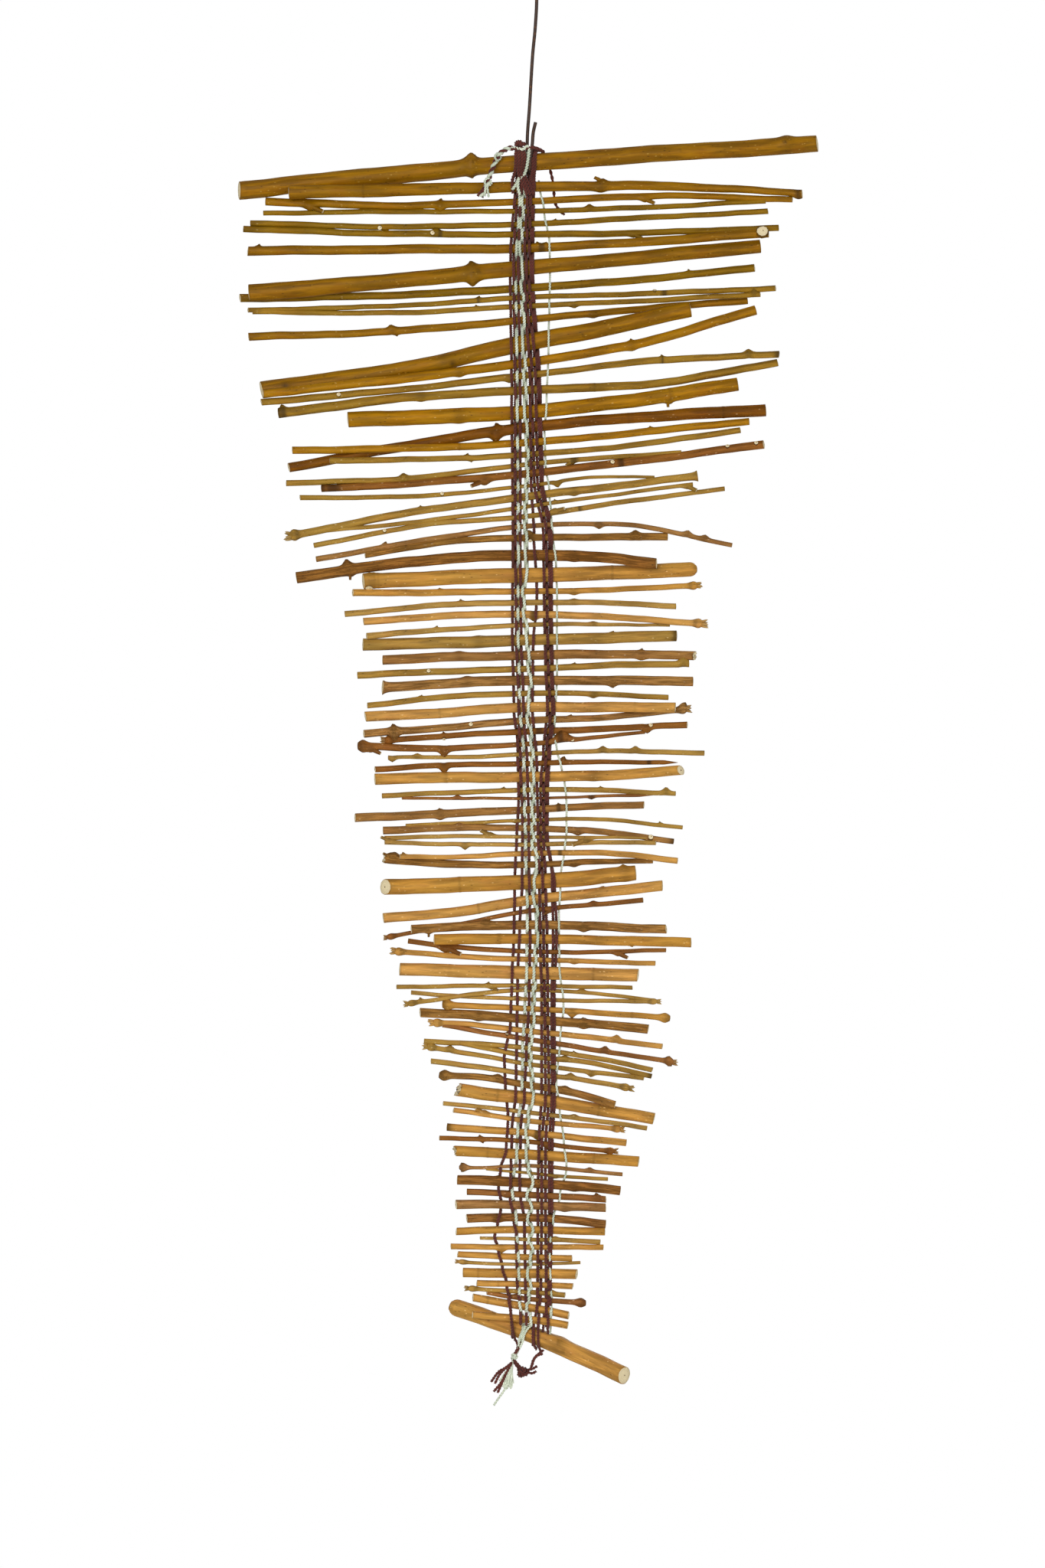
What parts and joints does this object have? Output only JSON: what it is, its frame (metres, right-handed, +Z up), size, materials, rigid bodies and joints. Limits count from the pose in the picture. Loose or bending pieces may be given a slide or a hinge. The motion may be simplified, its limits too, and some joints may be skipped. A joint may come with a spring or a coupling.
{
  "type": "woven twig wall hanging",
  "caption": "Tapering wall hanging of cut twigs stacked one above the other, woven into a narrow band of maroon and mint cotton warps and hung from a bent wire with an eye.",
  "frame": {"origin": "centre of the hanging eye at the top of the wire, where the nail or hook goes through", "axes": "+Z up, front towards -Y, +X to the right when facing the front; the twigs run roughly along X"},
  "size_m": [0.3016, 0.021, 0.7612],
  "materials": {
    "golden_bark": "smooth golden ochre bark with fine lengthwise grain and cream cut ends",
    "olive_bark": "smooth olive-tan bark with small bud scars",
    "russet_bark": "thin red-brown bark with pale buds and broken side shoots",
    "rough_bark": "ridged grey-brown bark",
    "maroon_cotton": "matt maroon two-ply cotton thread",
    "mint_cotton": "matt pale mint two-ply cotton thread",
    "dark_wire": "dark brown coated steel wire, slightly glossy"
  },
  "bodies": {
    "root": {"top_bar": "golden_bark", "twig_01": "golden_bark", "twig_06": "golden_bark", "twig_07": "golden_bark", "twig_08": "olive_bark", "twig_11": "olive_bark", "twig_12": "golden_bark", "twig_13": "golden_bark", "twig_14": "golden_bark", "twig_15": "olive_bark", "twig_16": "golden_bark", "twig_28": "rough_bark", "twig_29": "golden_bark", "twig_34": "golden_bark", "twig_35": "russet_bark", "twig_36": "olive_bark", "twig_37": "rough_bark", "twig_38": "olive_bark", "twig_39": "golden_bark", "twig_45": "golden_bark", "twig_48": "russet_bark", "twig_54": "rough_bark", "twig_55": "golden_bark", "twig_56": "golden_bark", "twig_59": "golden_bark", "twig_62": "golden_bark", "twig_67": "rough_bark", "twig_74": "rough_bark", "twig_75": "golden_bark", "twig_80": "golden_bark", "twig_83": "rough_bark", "twig_92": "golden_bark", "twig_96": "golden_bark", "twig_97": "golden_bark", "bottom_bar": "golden_bark", "thin_twigs_02_05": "olive_bark", "thin_twigs_09_10": "olive_bark", "thin_twigs_17_27": "olive_bark", "thin_twigs_30_33": "olive_bark", "thin_twigs_40_44": "russet_bark", "thin_twigs_46_47": "olive_bark", "thin_twigs_49_53": "olive_bark", "thin_twigs_57_58": "rough_bark", "thin_twigs_60_61": "golden_bark", "thin_twigs_63_66": "olive_bark", "thin_twigs_68_73": "golden_bark", "thin_twigs_76_79": "golden_bark", "thin_twigs_81_82": "russet_bark", "thin_twigs_84_87": "rough_bark", "thin_twigs_88_91": "olive_bark", "thin_twigs_93_95": "russet_bark", "hanging_wire": "dark_wire", "top_knot": "maroon_cotton", "left_tail": "mint_cotton", "right_tail": "maroon_cotton", "mint_knot": "mint_cotton", "maroon_knot": "maroon_cotton", "knot_strand": "maroon_cotton", "fringe": "mint_cotton", "thread_band": "maroon_cotton"}
  },
  "joints": []
}
